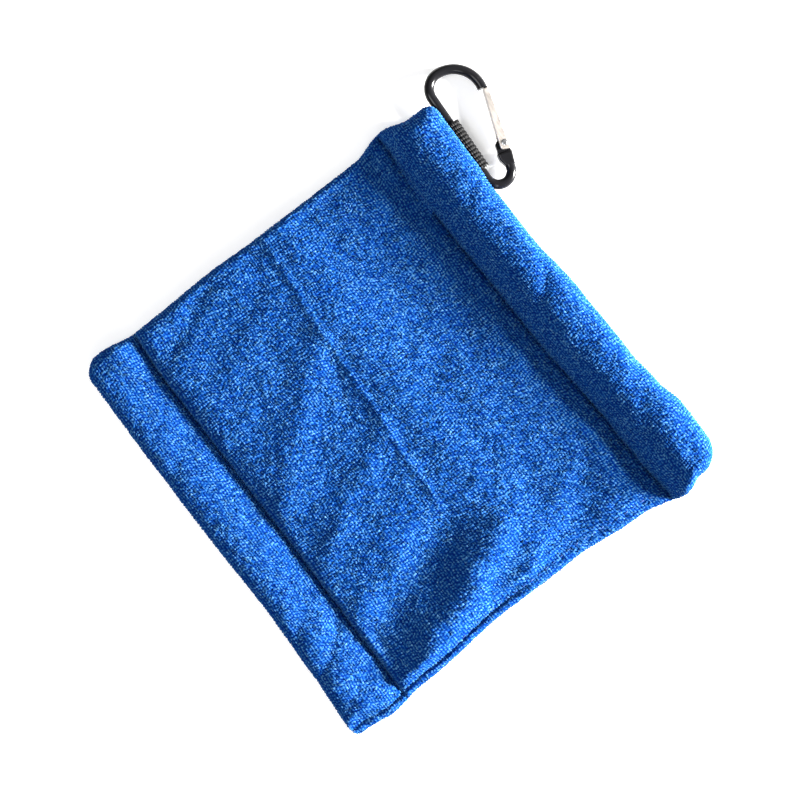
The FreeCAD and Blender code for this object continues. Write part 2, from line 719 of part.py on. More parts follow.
def check_objects():
    """Stops if a feature failed or a sub-part isn't a valid solid."""
    doc.recompute()
    for item in doc.Objects:
        if "Invalid" in item.State or "Error" in item.State:
            raise RuntimeError(f"{item.Name} failed: {item.State}")
    for label in NODES:
        shape = doc.getObjectsByLabel(label)[0].Shape
        if shape.isNull() or not shape.isValid() or not shape.Solids:
            raise RuntimeError(f"{label} isn't a valid solid")


def write_steps():
    os.makedirs("parts", exist_ok=True)
    for label in NODES:
        shape = doc.getObjectsByLabel(label)[0].Shape
        shape.exportStep(f"parts/{label}.step")
        box = shape.BoundBox
        print(f"{label:20s} {len(shape.Solids)} solid(s) {shape.Volume:10.2f} mm3  "
              f"x {box.XMin:.2f} {box.XMax:.2f}  y {box.YMin:.2f} {box.YMax:.2f}  "
              f"z {box.ZMin:.2f} {box.ZMax:.2f}")


folded_panel()
mouth_hem()
clip_hem()
stitches()
elastic_loop()
loop_stitches()
carabiner_body()
gate_channel()
gate_rivet()
gate_spring()
gate_plunger()
check_objects()
write_steps()
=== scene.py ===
"""The golf towel's looks: terry with a real pile, ribbed elastic, anodised carabiner, studio."""

import json
import math

import bpy
import numpy as np
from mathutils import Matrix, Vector


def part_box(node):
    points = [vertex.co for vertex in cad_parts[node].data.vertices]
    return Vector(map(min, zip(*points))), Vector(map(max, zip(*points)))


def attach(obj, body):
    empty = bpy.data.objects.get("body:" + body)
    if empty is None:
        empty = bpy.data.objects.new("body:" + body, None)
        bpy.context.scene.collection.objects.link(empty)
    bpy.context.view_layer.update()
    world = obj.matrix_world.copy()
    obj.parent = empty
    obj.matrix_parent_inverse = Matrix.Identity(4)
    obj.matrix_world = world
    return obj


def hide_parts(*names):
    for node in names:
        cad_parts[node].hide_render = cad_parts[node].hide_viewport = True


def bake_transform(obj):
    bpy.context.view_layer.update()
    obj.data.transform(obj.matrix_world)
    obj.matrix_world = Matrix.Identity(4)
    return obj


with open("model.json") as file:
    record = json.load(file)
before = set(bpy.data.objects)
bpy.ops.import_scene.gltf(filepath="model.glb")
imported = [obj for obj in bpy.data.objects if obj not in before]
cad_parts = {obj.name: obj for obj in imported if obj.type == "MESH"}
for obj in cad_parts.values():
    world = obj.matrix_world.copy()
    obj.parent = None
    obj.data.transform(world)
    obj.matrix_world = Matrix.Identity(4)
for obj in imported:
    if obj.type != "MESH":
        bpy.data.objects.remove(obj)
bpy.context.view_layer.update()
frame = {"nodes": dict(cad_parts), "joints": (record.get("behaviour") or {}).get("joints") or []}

MM = 0.001

# Sizes of the cloth, from the frame, in millimetres ---------------------------------------------


def node_box(name):
    low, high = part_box(name)
    return np.array(low) / MM, np.array(high) / MM


PANEL_LOW, PANEL_HIGH = node_box("folded_panel")
_, CLIP_HIGH = node_box("clip_hem")
MOUTH_LOW, MOUTH_HIGH = node_box("mouth_hem")
HALF_WIDTH = PANEL_HIGH[0]
SEAM_SHIFT = 0.5
CLIP_SEAM = PANEL_HIGH[1] - SEAM_SHIFT
MOUTH_SEAM = PANEL_LOW[1] - SEAM_SHIFT
CLIP_EDGE = CLIP_HIGH[1]
MOUTH_EDGE = MOUTH_LOW[1]
ROLL_TOP = CLIP_HIGH[2]
MOUTH_TOP = MOUTH_HIGH[2]
FOOT = 0.45
EDGE_RUN = 2.0

JOINTS = {joint["name"]: joint for joint in frame["joints"]}
SPINE = np.array(JOINTS["carabiner_swing"]["pos_m"]) / MM
SPINE_DIRECTION = np.array(JOINTS["carabiner_swing"]["axis"])

COLUMN_STEP = 0.35
ROW_STEP = 0.425
LOOP_HEIGHT = 0.52
PRESSED_FLAT = 0.02

# The front and back faces meet along the fold, the sewn side and the clip hem's edge.
SHARED_EDGES = np.s_[:, 0], np.s_[:, -1], np.s_[-1]

# Small tools --------------------------------------------------------------------------------------


def step(value, start, end):
    """0 before start, 1 after end and smooth between, whichever way round they are."""
    u = np.clip((value - start) / (end - start), 0, 1)
    return u * u * (3 - 2 * u)


def bump(value, middle, width):
    return np.exp(-(((value - middle) / width) ** 2))


def eased(value, stations):
    """Smooth interpolation through (place, height) pairs."""
    places, heights = np.array(stations, float).T
    cell = np.clip(np.searchsorted(places, value) - 1, 0, len(places) - 2)
    u = np.clip((value - places[cell]) / (places[cell + 1] - places[cell]), 0, 1)
    return heights[cell] + (heights[cell + 1] - heights[cell]) * u * u * (3 - 2 * u)


def smooth_line(knots, per_span=60):
    """A Catmull-Rom curve through knots, sampled closely."""
    knots = np.array(knots, float)
    ends = [2 * knots[0] - knots[1]], [2 * knots[-1] - knots[-2]]
    p = np.concatenate([ends[0], knots, ends[1]])
    u = np.linspace(0, 1, per_span, endpoint=False)[:, None]
    spans = []
    for a, b, c, d in zip(p, p[1:], p[2:], p[3:]):
        spans.append(0.5 * (2 * b + (c - a) * u + (2 * a - 5 * b + 4 * c - d) * u**2
                            + (3 * b - a - 3 * c + d) * u**3))
    return np.concatenate(spans + [knots[-1:]])


def waves(x, y, size, seed):
    """Soft noise of about -1 to 1 whose lumps are size millimetres across."""
    chance = np.random.default_rng(seed)
    total = np.zeros(np.broadcast(x, y).shape)
    for _ in range(14):
        angle, phase = chance.uniform(0, 2 * math.pi, 2)
        rate = 2 * math.pi / (size * chance.uniform(1.3, 3.2))
        total += np.sin((x * math.cos(angle) + y * math.sin(angle)) * rate + phase)
    return total / 4.5


def link(obj):
    bpy.context.scene.collection.objects.link(obj)
    return obj


def mesh_object(name, points, faces, smooth=True):
    """A mesh from points in millimetres and faces that all have the same number of corners."""
    mesh = bpy.data.meshes.new(name)
    points = np.asarray(points, float).reshape(-1, 3) * MM
    faces = np.asarray(faces, np.int32)
    corners = faces.shape[1]
    mesh.vertices.add(len(points))
    mesh.vertices.foreach_set("co", points.ravel())
    mesh.loops.add(faces.size)
    mesh.loops.foreach_set("vertex_index", faces.ravel())
    mesh.polygons.add(len(faces))
    mesh.polygons.foreach_set("loop_start", np.arange(len(faces), dtype=np.int32) * corners)
    mesh.polygons.foreach_set("use_smooth", np.full(len(faces), smooth))
    mesh.update(calc_edges=True)
    mesh.validate()
    return link(bpy.data.objects.new(name, mesh))


def grid_faces(rows, columns, flip=False, start=0):
    index = np.arange(rows * columns).reshape(rows, columns) + start
    quads = [index[:-1, :-1], index[:-1, 1:], index[1:, 1:], index[1:, :-1]]
    quads = np.stack([q.ravel() for q in quads], axis=1)
    return quads[:, ::-1] if flip else quads


def point_value(obj, name, values):
    layer = obj.data.attributes.new(name, "FLOAT", "POINT")
    layer.data.foreach_set("value", np.asarray(values, np.float32).ravel())


# The cloth's large shape --------------------------------------------------------------------------

# Across the pouch from inside the mouth to the clip hem's edge: y, height of the front face,
# height of the back face. The first five stations turn round the lips of the mouth.
SECTION = [
    (MOUTH_EDGE + 9.0, 4.55, 3.85),
    (MOUTH_EDGE + 2.7, 4.4, 4.0),
    (MOUTH_EDGE + 0.8, 4.9, 3.5),
    (MOUTH_EDGE + 0.1, 6.1, 2.1),
    (MOUTH_EDGE + 0.8, 7.3, 0.95),
    (MOUTH_EDGE + 3.0, MOUTH_TOP - 0.2, FOOT),
    (MOUTH_EDGE + 7.0, MOUTH_TOP - 0.2, FOOT),
    (MOUTH_EDGE + 12.0, MOUTH_TOP - 1.1, FOOT),
    (MOUTH_SEAM - 3.6, 6.2, FOOT),
    (MOUTH_SEAM - 1.2, 5.0, 0.6),
    (MOUTH_SEAM, 3.8, 1.1),
    (MOUTH_SEAM + 0.9, 5.6, 0.6),
    (MOUTH_SEAM + 2.6, 6.4, FOOT),
    (-34.0, 6.3, FOOT),
    (-8.0, 5.9, FOOT),
    (6.0, 6.1, FOOT),
    (19.0, 4.9, FOOT),
    (30.0, 4.3, FOOT),
    (CLIP_SEAM - 6.0, 4.5, FOOT),
    (CLIP_SEAM - 2.4, 4.0, 0.5),
    (CLIP_SEAM - 0.9, 3.2, 0.7),
    (CLIP_SEAM, 2.5, 1.0),
    (CLIP_SEAM + 0.6, 4.6, 0.6),
    (CLIP_SEAM + 1.8, 6.6, FOOT),
    (CLIP_SEAM + 4.5, 9.4, FOOT),
    (CLIP_SEAM + 8.6, 11.2, FOOT),
    (CLIP_SEAM + 13.2, ROLL_TOP + 1.2, FOOT),
    (CLIP_EDGE - 3.2, 11.1, 0.5),
    (CLIP_EDGE - 1.0, 8.9, 2.2),
    (CLIP_EDGE, 5.6, 5.4),
]

# How far each edge or line of stitches strays from straight, in millimetres: (place, stray) where
# the cloth bulges, pinches or turns, with smooth curves between.
FOLD_STRAY = [(-72, 0.5), (-62, -0.8), (-49, 0.9), (-20, 0.3), (0, 0.9), (38, 0.9), (49, -1.6),
              (60, 0.9), (72, 1.7)]
SEWN_STRAY = [(-72, 0.9), (-65, 0.9), (-55, 2.0), (-45, 0.8), (-10, -1.3), (14, -1.2), (38, 0.8),
              (53, 4.0), (60, 1.9), (72, 0.3)]
MOUTH_STRAY = [(-72, 1.8), (-20, 0.9), (20, 1.0), (45, 0.2), (72, -1.5)]
MOUTH_SEAM_STRAY = [(-72, 1.2), (-50, 0.0), (0, -0.2), (50, -0.8), (72, -1.2)]
CLIP_SEAM_STRAY = [(-72, 0.0), (-40, -0.7), (0, 0.1), (45, 2.1), (72, 3.4)]
CLIP_STRAY = [(-72, -1.8), (-48, -2.3), (-40, -2.9), (-20, -2.5), (3, -0.7), (30, -0.2), (40, 0.8),
              (50, 2.7), (63, 2.6), (72, 1.4)]
CORNERS = [(-1, -1, 5.0), (1, -1, 2.6), (-1, 1, 3.2), (1, 1, 6.5)]


# Slack in the cloth: where each fold starts and ends, its half width and its height.
PANEL_FOLDS = [
    ((-69, 1.0), (28, -6.5), 1.3, 0.30),
    ((-32, -6), (0, -44), 4.6, 0.75),
    ((3, -8), (21, -45), 4.0, 0.6),
    ((-52, -8), (-38, -38), 3.6, 0.32),
    ((-66, -12), (-56, -36), 3.4, 0.25),
    ((-20, -7), (-8, -11), 2.6, -0.35),
    ((50, 4), (62, -18), 3.4, 0.5),
    ((51, -4), (67, -42), 6.0, 2.5),
    ((39, -12), (51, -46), 6.5, -1.5),
    ((46, 30), (56, 10), 3.0, 0.40),
    ((55, 22), (63, 3), 2.2, 0.35),
    ((-40, 22), (-16, 34), 9.0, -0.75),
    ((30, 28), (12, 4), 5.0, 0.2),
    ((-68, -46), (-52, -50), 12.0, 1.1),
]
HEM_FOLDS = [
    ((27, -56), (36, -68), 2.6, -0.45),
    ((39, -53), (49, -67), 2.4, -0.65),
    ((55, -54), (62, -66), 2.4, -0.35),
    ((-34, -56), (-26, -67), 3.0, -0.3),
    ((-70, -66), (-62, -62), 5.0, -1.2),
    ((-9, 65), (-2, 57), 2.4, -0.35),
    ((-44, 66), (-38, 58), 3.0, -0.3),
    ((34, 67), (44, 60), 4.0, -0.35),
    ((48, 61), (64, 60), 4.5, 0.5),
]


def folds(x, y, table):
    """The summed heights of rounded folds that run from point to point."""
    total = np.zeros(np.broadcast(x, y).shape)
    for (x0, y0), (x1, y1), half_width, height in table:
        run = math.hypot(x1 - x0, y1 - y0)
        cx, cy = (x1 - x0) / run, (y1 - y0) / run
        along = (x - x0) * cx + (y - y0) * cy
        past = np.maximum(np.maximum(-along, along - run), 0)
        across = (y - y0) * cx - (x - x0) * cy
        across = across + 0.17 * half_width * np.sin(along * 0.25 + x0)
        total += height * np.exp(-(across**2 + 0.35 * past**2) / half_width**2)
    return total


def relief(x, y):
    """Height added to the front of the panel: packing crease, folds and slack, in millimetres."""
    inside = step(y, MOUTH_SEAM, MOUTH_SEAM + 4) * step(y, CLIP_SEAM, CLIP_SEAM - 7)
    inside = inside * step(x, -71, -66) * step(x, 68, 64)
    height = folds(x, y, PANEL_FOLDS)
    height += 0.05 * waves(x, y, 3.2, 4) + 0.10 * waves(x + y, y, 8.0, 5)
    height += 0.20 * waves(x, y, 20.0, 8)
    height += 0.7 * step(x, -20, 15) * step(y, 8, 30) * step(y, 48, 40) - 0.5 * step(x, -30, -66)
    return height * inside


def hem_relief(x, y):
    """Slack in the two hems."""
    mouth = step(y, MOUTH_SEAM - 1, MOUTH_SEAM - 5)
    roll = step(y, CLIP_SEAM + 3, CLIP_SEAM + 8)
    height = 0.05 * waves(x, y, 3.2, 14) + 0.09 * waves(x, y, 11.0, 21) + folds(x, y, HEM_FOLDS)
    return height * (mouth + roll)


def clip_room(x, y):
    """How far the back of the clip hem is lifted off the strap, its tails and the spine."""
    across = (x - SPINE[0]) / SPINE_DIRECTION[0]
    off = y - (SPINE[1] + SPINE_DIRECTION[1] * across)
    over_spine = step(across, -27, -24.0) * step(across, 27, 18)
    over_strap = step(across, -10.8, -8.6) * step(across, 12.0, 9.8)
    spine = 5.9 * over_spine * step(off, -6.0, -3.2)
    strap = over_strap * (3.1 * step(off, -20.5, -18.5) + 3.7 * step(off, -9.5, -6.5))
    return np.maximum(spine, strap)


def round_corners(x, y):
    """Pulls the outline in at each corner, by that corner's radius."""
    for side, end, size in CORNERS:
        edge = MOUTH_EDGE if end < 0 else CLIP_EDGE
        u = np.clip((side * x - (HALF_WIDTH - size)) / size, 0, 1.2)
        v = np.clip((end * y - (end * edge - size)) / size, 0, 1.2)
        x = x - side * size * u * (1 - np.sqrt(np.clip(1 - v * v / 2, 0, 1)))
        y = y - end * size * v * (1 - np.sqrt(np.clip(1 - u * u / 2, 0, 1)))
    return x, y


def stray(x, y):
    """Bends the straight outline and seams to where the soft cloth really lies."""
    share = (x + HALF_WIDTH) / (2 * HALF_WIDTH)
    dx = eased(y, FOLD_STRAY) * (1 - share) + eased(y, SEWN_STRAY) * share
    lines = [(MOUTH_EDGE, MOUTH_STRAY), (MOUTH_SEAM, MOUTH_SEAM_STRAY),
             (CLIP_SEAM, CLIP_SEAM_STRAY), (CLIP_EDGE, CLIP_STRAY)]
    places = [place for place, _ in lines]
    strays = np.stack([eased(x, table) for _, table in lines])
    cell = np.clip(np.searchsorted(places, y) - 1, 0, 2)
    low, high = np.array(places)[cell], np.array(places)[cell + 1]
    u = np.clip((y - low) / (high - low), 0, 1)
    below = np.take_along_axis(strays, cell[None], 0)[0]
    above = np.take_along_axis(strays, cell[None] + 1, 0)[0]
    return x + dx, y + below + (above - below) * u


def cloth_rows():
    """The section's stations at even steps along the front face, and where its seams fall."""
    line = smooth_line(SECTION)
    run = np.hypot(np.diff(line[:, 0]), np.diff(line[:, 1]))
    along = np.concatenate([[0], np.cumsum(run)])
    knots = along[::60]
    names = [station[0] for station in SECTION]
    seams = [knots[names.index(MOUTH_SEAM)], knots[names.index(CLIP_SEAM)]]
    marks = [0] + seams + [along[-1]]
    places = [np.linspace(a, b, max(2, round((b - a) / ROW_STEP)) + 1)
              for a, b in zip(marks, marks[1:])]
    rows = np.concatenate([places[0], places[1][1:], places[2][1:]])
    cuts = [len(places[0]) - 1, len(places[0]) + len(places[1]) - 2]
    stations = np.stack([np.interp(rows, along, line[:, i]) for i in range(3)], axis=1)
    return rows, stations, cuts


def cloth_surface(columns, stations):
    """Front and back faces, before the pile, as arrays of points (row, column, xyz)."""
    y, front, back = (stations[:, i:i + 1] for i in range(3))
    half = (front - back) / 2
    fold_radius = np.clip(half, 1.2, 5.0)
    radius = np.where(columns[None] < 0, fold_radius, np.clip(half * 0.75, 1.2, 3.6))
    reach = HALF_WIDTH - radius + radius * math.pi / 2
    distance = np.abs(columns[None]) * reach
    turn = np.clip((distance - (HALF_WIDTH - radius)) / radius, 0, math.pi / 2)
    x = np.where(turn > 0, HALF_WIDTH - radius + radius * np.sin(turn), distance)
    x = x * np.sign(columns[None])
    y = np.broadcast_to(y, x.shape)
    seam = step(y, CLIP_SEAM + 2, CLIP_SEAM - 6)
    flange = step(x, HALF_WIDTH - 6.4, HALF_WIDTH - 3.4) * seam
    line = bump(x, HALF_WIDTH - 2.3, 0.55) * seam * step(y, 5, -12)
    extra = relief(x, y) + hem_relief(x, y)
    thick = np.broadcast_to(front - back, x.shape)
    top = front + extra * np.clip(thick / 4, 0, 1)
    top = top - flange * np.clip(thick - 3.9, 0, 9) * 0.75 - 0.9 * line
    low = np.broadcast_to(back, x.shape)
    middle = (top + low) / 2
    cosine = np.cos(turn)
    top = middle + (top - middle) * cosine
    low = middle + (low - middle) * cosine
    room = clip_room(x, y)
    top = top + room * np.clip(1 - top / (ROLL_TOP + 0.5), 0, 1)
    low = low + room * np.clip(1 - low / (ROLL_TOP + 0.5), 0, 1)
    x, y = round_corners(x, y)
    x, y = stray(x, y)
    return np.stack([x, y, top], axis=-1), np.stack([x, y, low], axis=-1)


# The pile -----------------------------------------------------------------------------------------


def pile(rows, columns, seed=3):
    """Loops three grid points wide and two long: heights, each loop's shade, sideways drift."""
    chance = np.random.default_rng(seed)
    loops = rows // 2 + 1, columns // 3 + 1

    def spread(values):
        return np.repeat(np.repeat(values, 2, axis=0), 3, axis=1)[:rows, :columns]

    tall = spread(chance.beta(2.6, 1.2, loops) * 0.50 + 0.45)
    shade = spread(chance.uniform(0, 1, loops))
    lean = spread(chance.uniform(-0.30, 0.30, (*loops, 2)))
    uneven = chance.uniform(0.78, 1.0, (rows, columns))
    gap = chance.beta(0.6, 1.9, (rows, columns)) * 0.85
    set_over = np.repeat(chance.integers(0, 3, loops[0]), 2)[:rows, None]
    r, c = np.arange(rows)[:, None] % 2, (np.arange(columns)[None] + set_over) % 3
    body = (r == 1) & (c > 0)
    height = np.where(body, tall * uneven, np.where((r == 1) | (c > 0), gap, 0.3 * gap))
    drift = chance.uniform(-0.07, 0.07, (rows, columns, 2)) + lean * body[..., None]
    return height, shade, drift


def normals(points):
    """Unit normals of a grid of points, right-handed in (column, row)."""
    across = np.gradient(points, axis=1)
    along = np.gradient(points, axis=0)
    out = np.cross(across, along)
    return out / np.maximum(np.linalg.norm(out, axis=-1, keepdims=True), 1e-9)


def outward(front, back):
    """Normals of both faces, pointing out of the cloth and equal along the edges that they share."""
    out_front, out_back = normals(front), -normals(back)
    for edge in SHARED_EDGES:
        shared = out_front[edge] + out_back[edge]
        shared /= np.maximum(np.linalg.norm(shared, axis=-1, keepdims=True), 1e-9)
        out_front[edge] = out_back[edge] = shared
    return out_front, out_back


def drifted(points, drift):
    """Points moved along the cloth: the lattice waves a little and no two loops are alike."""
    across = np.gradient(points, axis=1) / COLUMN_STEP
    along = np.gradient(points, axis=0) / ROW_STEP
    x, y = points[..., 0], points[..., 1]
    edge = np.ones(points.shape[:2])
    edge[:, [0, -1]] = 0
    edge[[0, -1]] = 0
    sway = [0.35 * waves(x, y, 7.0, seed) + 0.12 * waves(x, y, 2.2, seed + 2) for seed in (40, 41)]
    return (points + across * ((drift[..., 0] + sway[0]) * edge)[..., None]
            + along * ((drift[..., 1] + sway[1]) * edge)[..., None])


def build_cloth():
    """The folded strip's visible faces, cut at the seams into four pieces."""
    rows, stations, cuts = cloth_rows()
    count = round(2 * (HALF_WIDTH + EDGE_RUN) / COLUMN_STEP) + 1
    columns = np.linspace(-1, 1, count)
    front, back = cloth_surface(columns, stations)
    slack = settle(front, back, cuts)
    front, back = front + slack[0], back + slack[1]
    base_front, base_back = front.copy(), back.copy()
    height, shade, drift = pile(len(rows), count)
    back_height, back_shade, back_drift = pile(len(rows), count, seed=7)
    for edge in SHARED_EDGES:
        back_height[edge] = height[edge]
        back_shade[edge] = shade[edge]
    out_front, out_back = outward(front, back)
    front = drifted(front, drift) + out_front * (height * LOOP_HEIGHT)[..., None]
    back = drifted(back, back_drift) + out_back * (back_height * LOOP_HEIGHT)[..., None]
    back[..., 2] = np.maximum(back[..., 2], PRESSED_FLAT)
    made = {}
    for name, node, first, last in (("terry_mouth_hem", "mouth_hem", 0, cuts[0]),
                                    ("terry_clip_hem", "clip_hem", cuts[1], len(rows) - 1)):
        part = slice(first, last + 1)
        made[name] = shell(name, front[part], back[part], (height[part], back_height[part]),
                           (shade[part], back_shade[part]))
        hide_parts(node)
    part = slice(cuts[0], cuts[1] + 1)
    for name, face, flip, heights, shades in (
            ("terry_front_panel", front, False, height, shade),
            ("terry_back_panel", back, True, back_height, back_shade)):
        points = face[part]
        made[name] = mesh_object(name, points, grid_faces(*points.shape[:2], flip=flip))
        point_value(made[name], "pile", heights[part])
        point_value(made[name], "loop", shades[part])
        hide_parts("folded_panel")
    for piece in made.values():
        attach(piece, "towel")
    build_stitches(base_front, base_back, cuts)
    return made


def shell(name, front, back, heights, shades):
    """Front and back faces of a hem in one mesh, welded along the edges that they share."""
    r, c = front.shape[:2]
    faces = np.concatenate([grid_faces(r, c), grid_faces(r, c, flip=True, start=r * c)])
    points = np.concatenate([front.reshape(-1, 3), back.reshape(-1, 3)])
    keep = np.arange(2 * r * c)
    back_index = keep[r * c:].reshape(r, c)
    front_index = keep[:r * c].reshape(r, c)
    same = np.linalg.norm(front - back, axis=-1) < 1e-4
    keep[back_index[same]] = front_index[same]
    faces = keep[faces]
    used, faces = np.unique(faces, return_inverse=True)
    faces = faces.reshape(-1, 4)
    obj = mesh_object(name, points[used], faces)
    for layer, faces_values in (("pile", heights), ("loop", shades)):
        point_value(obj, layer, np.concatenate([v.ravel() for v in faces_values])[used])
    return obj


# The cloth's own slack, by simulation ---------------------------------------------------------------

# Grid points to a coarse one, frames run, the most that a point moves in millimetres, and the share
# of that move kept on the panel and on the hems.
SIM_EVERY = 8
SIM_FRAMES = 24
SIM_CAP = 0.8
PANEL_SLACK = 0.6
HEM_SLACK = 0.45


def coarse_places(count, kept):
    return np.unique(np.concatenate([np.arange(0, count, SIM_EVERY), [count - 1], kept])).astype(int)


def bag_mesh(front, back):
    """A coarse bag from every few grid points, its faces welded where they meet."""
    r, c = front.shape[:2]
    points = np.concatenate([front.reshape(-1, 3), back.reshape(-1, 3)])
    index = np.arange(2 * r * c)
    under = index[r * c:].reshape(r, c)
    over = index[:r * c].reshape(r, c)
    for edge in SHARED_EDGES:
        index[under[edge].copy()] = over[edge]
    faces = np.concatenate([grid_faces(r, c), grid_faces(r, c, flip=True, start=r * c)])
    faces = index[faces]
    used, faces = np.unique(faces, return_inverse=True)
    bag = mesh_object("slack_bag", points[used], faces.reshape(-1, 4))
    place = np.searchsorted(used, index)
    return bag, place, used


def settle(front, back, cuts):
    """Blows the slack bag up between its seams and returns how far each fine point moves."""
    rows = coarse_places(front.shape[0], cuts)
    columns = coarse_places(front.shape[1], [])
    grid = np.ix_(rows, columns)
    bag, place, used = bag_mesh(front[grid], back[grid])
    held = np.zeros((len(rows), len(columns)), bool)
    held[np.isin(rows, cuts)] = True
    held[:2] = held[-1:] = True
    held[:, [0, -1]] = True
    held = np.concatenate([held.ravel(), held.ravel()])[used]
    group = bag.vertex_groups.new(name="seams")
    group.add(np.flatnonzero(held).tolist(), 1.0, "REPLACE")
    cloth = bag.modifiers.new("Cloth", "CLOTH")
    feel = cloth.settings
    feel.quality = 6
    feel.mass = 0.25
    feel.tension_stiffness = feel.compression_stiffness = 12
    feel.shear_stiffness = 4
    feel.bending_stiffness = 0.6
    feel.shrink_min = -0.022
    feel.use_pressure = True
    feel.uniform_pressure_force = 1.2
    feel.effector_weights.gravity = 0
    feel.vertex_group_mass = "seams"
    start = np.concatenate([front[grid].reshape(-1, 3), back[grid].reshape(-1, 3)])
    scene = bpy.context.scene
    first = scene.frame_current
    for moment in range(1, SIM_FRAMES + 1):
        scene.frame_set(moment)
    shaped = bag.evaluated_get(bpy.context.evaluated_depsgraph_get()).data
    points = np.empty(len(shaped.vertices) * 3)
    shaped.vertices.foreach_get("co", points)
    moved = points.reshape(-1, 3)[place] / MM - start
    scene.frame_set(first)
    bpy.data.objects.remove(bag)
    far = np.linalg.norm(moved, axis=-1, keepdims=True)
    moved *= SIM_CAP * np.tanh(far / SIM_CAP) / np.maximum(far, 1e-9)
    halves = moved.reshape(2, len(rows), len(columns), 3)
    panel = (rows > cuts[0]) & (rows < cuts[1])
    halves = halves * np.where(panel, PANEL_SLACK, HEM_SLACK)[None, :, None, None]
    return [spread_out(half, rows, columns, front.shape) for half in halves]


def spread_out(values, rows, columns, shape):
    """Coarse grid values carried smoothly to every fine grid point."""
    fine = np.empty(shape)
    for k in range(shape[2]):
        wide = np.stack([np.interp(np.arange(shape[1]), columns, row) for row in values[..., k]])
        tall = np.stack([np.interp(np.arange(shape[0]), rows, column) for column in wide.T]).T
        fine[..., k] = softened(softened(tall, SIM_EVERY // 2), SIM_EVERY // 2)
    return fine


def softened(values, reach):
    """A running mean over reach points each way, along both directions."""
    for axis in (0, 1):
        pad = [(reach, reach) if axis == k else (0, 0) for k in (0, 1)]
        sums = np.cumsum(np.pad(values, pad, mode="edge"), axis=axis)
        zero = np.zeros_like(np.take(sums, [0], axis=axis))
        sums = np.concatenate([zero, sums], axis=axis)
        size = values.shape[axis]
        ahead = np.take(sums, np.arange(2 * reach + 1, 2 * reach + 1 + size), axis=axis)
        values = (ahead - np.take(sums, np.arange(size), axis=axis)) / (2 * reach + 1)
    return values


# Thread and elastic -------------------------------------------------------------------------------


def tube(path, radius, sides=8):
    """Points and quads of a round rod along a path, closed to a point at each end."""
    path = np.asarray(path, float)
    ahead = np.gradient(path, axis=0)
    ahead /= np.linalg.norm(ahead, axis=1, keepdims=True)
    side = np.cross(ahead, np.array([0.0, 0.0, 1.0]) + 1e-3)
    side /= np.linalg.norm(side, axis=1, keepdims=True)
    up = np.cross(side, ahead)
    turn = np.linspace(0, 2 * math.pi, sides, endpoint=False)
    thick = np.broadcast_to(np.asarray(radius, float), (len(path),))[:, None, None]
    ring = np.cos(turn)[None, :, None] * side[:, None] + np.sin(turn)[None, :, None] * up[:, None]
    points = (path[:, None] + ring * thick).reshape(-1, 3)
    index = np.arange(len(points)).reshape(len(path), sides)
    after = np.roll(index, -1, axis=1)
    quads = np.stack([index[:-1], index[1:], after[1:], after[:-1]], axis=-1).reshape(-1, 4)
    return points, quads


def gathered(parts):
    """Several (points, faces) pairs as one."""
    points, faces, start = [], [], 0
    for some, quads in parts:
        points.append(some)
        faces.append(quads + start)
        start += len(some)
    return np.concatenate(points), np.concatenate(faces)


STITCH, STITCH_GAP, THREAD = 2.3, 0.7, 0.2
SIDE_SEAM_IN = 2.6


def stitched(line, lift=0.12):
    """Sunk stitches along a line of points on the cloth."""
    run = np.concatenate([[0], np.cumsum(np.linalg.norm(np.diff(line, axis=0), axis=1))])
    parts = []
    for start in np.arange(1.0, run[-1] - STITCH - 1.0, STITCH + STITCH_GAP):
        along = np.linspace(0, 1, 9)
        path = np.stack([np.interp(start + along * STITCH, run, line[:, k]) for k in range(3)], axis=1)
        path[:, 2] += lift * np.sin(along * math.pi) * 2 - lift
        path[:, 2] = np.maximum(path[:, 2], THREAD)
        parts.append(tube(path, THREAD * np.sqrt(np.sin(along * math.pi) + 0.02)))
    return parts


def build_stitches(front, back, cuts):
    """Rows of stitches down both hem grooves and up the sewn side, on both faces."""
    seam_column = int(np.argmin(np.abs(front[cuts[0] + 40, :, 0] - (HALF_WIDTH - SIDE_SEAM_IN))))
    inner = np.s_[4:-4]
    side = np.s_[cuts[0]:cuts[1], seam_column]
    for name, places in (("clip_hem_thread", (front[cuts[1]][inner], back[cuts[1]][inner])),
                         ("mouth_hem_thread", (front[cuts[0]][inner], back[cuts[0]][inner])),
                         ("side_seam_thread", (front[side], back[side]))):
        parts = stitched(places[0], 0.16) + stitched(places[1], -0.05)
        thread = mesh_object(name, *gathered(parts))
        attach(thread, "towel")
        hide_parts(name.replace("thread", "stitches"))
        paint(thread, materials["thread"])


STRAP_LOW, _ = node_box("elastic_loop")
STRAP_THICK = 1.2
STRAP_RIBS = 13
STRAP_WIDTH = 17.0
STRAP_SHIFT = 0.6
STRAP_TAIL = 17.5
RIB_DEPTH = 0.34
TAIL_THREADS = -15.5, -12.0
FRAY_CLEAR = 1.85


def on_spine(along, off, up):
    """Points given along the spine, square to it and above it, in the towel's millimetres."""
    ahead = SPINE_DIRECTION
    square = np.array([-ahead[1], ahead[0], 0.0])
    rise = np.array([0.0, 0.0, 1.0])
    return SPINE + along[..., None] * ahead + off[..., None] * square + up[..., None] * rise


